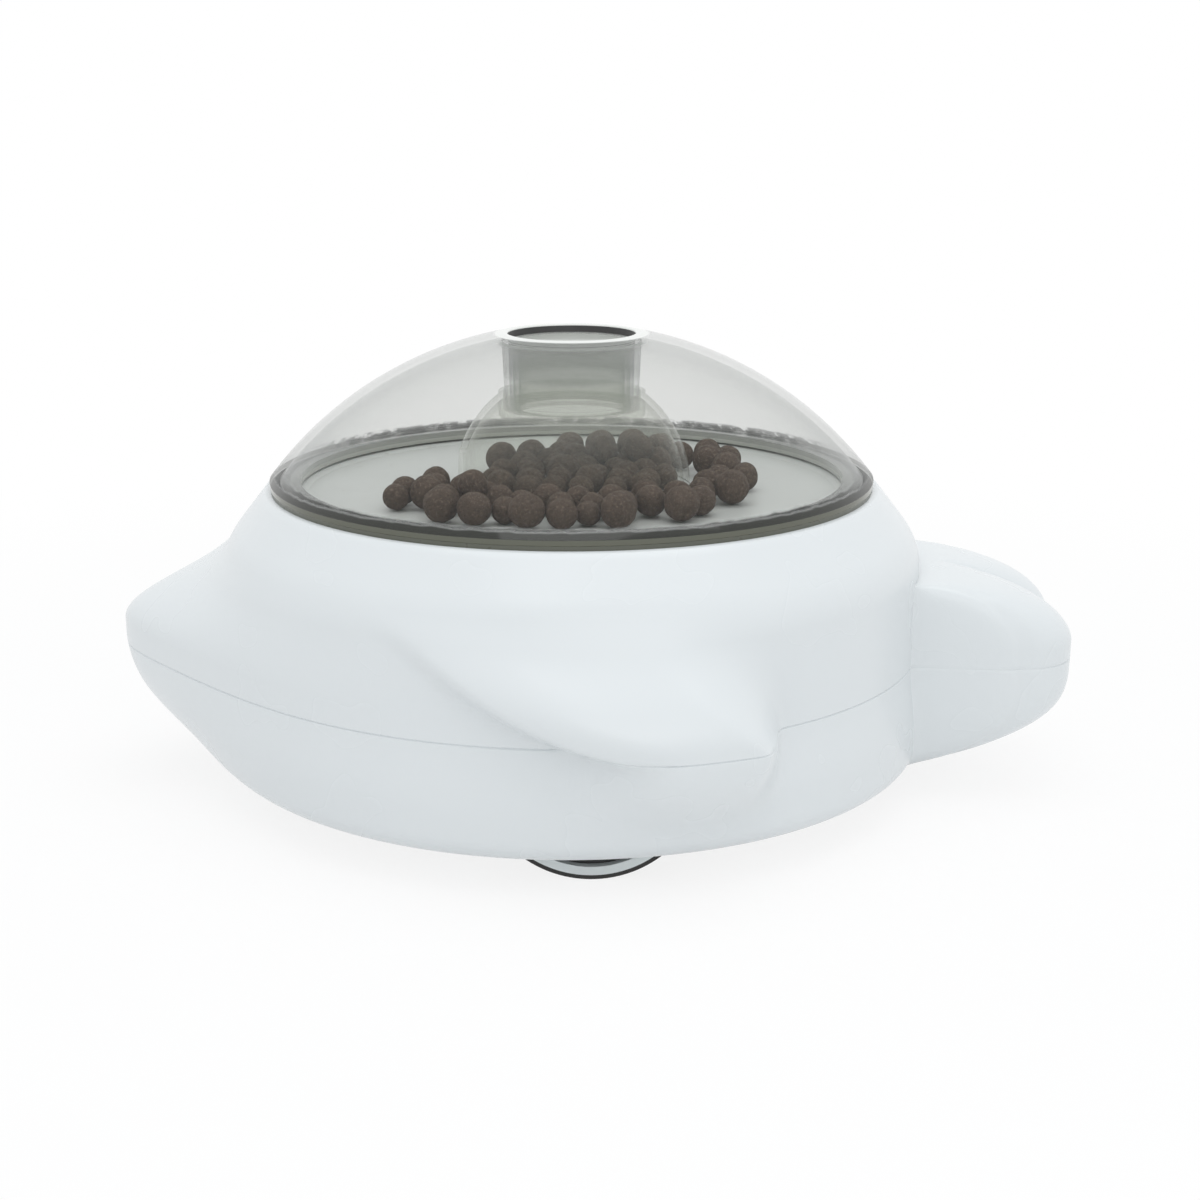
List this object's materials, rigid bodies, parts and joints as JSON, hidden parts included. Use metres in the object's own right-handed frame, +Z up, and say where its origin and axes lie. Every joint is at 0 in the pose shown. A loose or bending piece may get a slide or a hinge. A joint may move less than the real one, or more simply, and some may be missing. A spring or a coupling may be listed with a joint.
{
  "type": "push button treat dispenser",
  "caption": "Fish-shaped white pet treat dispenser on wheels, with a smoky clear dome over a kibble tray, a push button in its neck and a sprung dosing plunger.",
  "frame": {"origin": "on the floor at mid-length and mid-width, straight under the wheel axle", "axes": "+X towards the tail, +Y to the far side in the picture, +Z up"},
  "size_m": [0.238, 0.1986, 0.1128],
  "materials": {
    "white_shell": "gloss moulded, faintly bluish white",
    "pale_tray": "satin moulded, pale grey",
    "inner_plastic": "matte moulded, off white",
    "screw_steel": "zinc plated",
    "black_rubber": "satin black",
    "seal_rubber": "gloss black with an olive cast",
    "bush_plastic": "waxy natural plastic",
    "kibble": "dry baked crust, pitted",
    "smoky_dome": "clear smoky plastic, polished",
    "clear_button": "clear plastic, faintly frosted",
    "clear_bell": "clear plastic, faintly hazy",
    "spring_steel": "drawn wire",
    "axle_steel": "ground bar",
    "wheel_rim": "gloss moulded, white",
    "tyre_rubber": "satin black",
    "hub_dark": "satin dark grey"
  },
  "bodies": {
    "root": {"lower_shell": "white_shell", "upper_shell": "white_shell", "hopper_tray": "pale_tray", "guide_sleeve": "inner_plastic", "drop_chute": "inner_plastic", "shell_screws": "screw_steel", "tray_screws": "screw_steel", "sleeve_screws": "screw_steel", "chute_screws": "screw_steel", "front_glide": "black_rubber", "rear_glide": "black_rubber", "left_bearing": "bush_plastic", "right_bearing": "bush_plastic", "treats": "kibble"},
    "lid": {"dome_lid": "smoky_dome", "lid_seal": "seal_rubber", "neck_ring": "black_rubber"},
    "button": {"push_button": "clear_button"},
    "plunger": {"inner_bell": "clear_bell", "dosing_ring": "inner_plastic", "plunger_stem": "inner_plastic", "stem_screw": "screw_steel", "bell_treats": "kibble", "return_spring": "spring_steel"},
    "wheels": {"axle": "axle_steel", "left_wheel": "wheel_rim", "right_wheel": "wheel_rim", "left_tyre": "tyre_rubber", "right_tyre": "tyre_rubber", "left_hub_cap": "hub_dark", "right_hub_cap": "hub_dark", "axle_clips": "spring_steel"}
  },
  "joints": [
    {"name": "lid_lift", "type": "slide", "parent": "root", "child": "lid", "axis": [0, 0, 1], "range_m": [0, 0.045]},
    {"name": "button_press", "type": "slide", "parent": "lid", "child": "button", "axis": [0, 0, -1], "range_m": [0, 0.011], "stiffness_N_per_m": 250, "springref_m": -0.006},
    {"name": "plunger_drop", "type": "slide", "parent": "root", "child": "plunger", "axis": [0, 0, -1], "range_m": [0, 0.011], "stiffness_N_per_m": 250, "springref_m": -0.006, "deforming": ["return_spring"]},
    {"name": "wheel_roll", "type": "hinge", "parent": "root", "child": "wheels", "pos_m": [0, 0, 0.025], "axis": [0, 1, 0], "continuous": true}
  ],
  "couplings": [
    {"joint": "plunger_drop", "follows": "button_press", "ratio": 1}
  ]
}
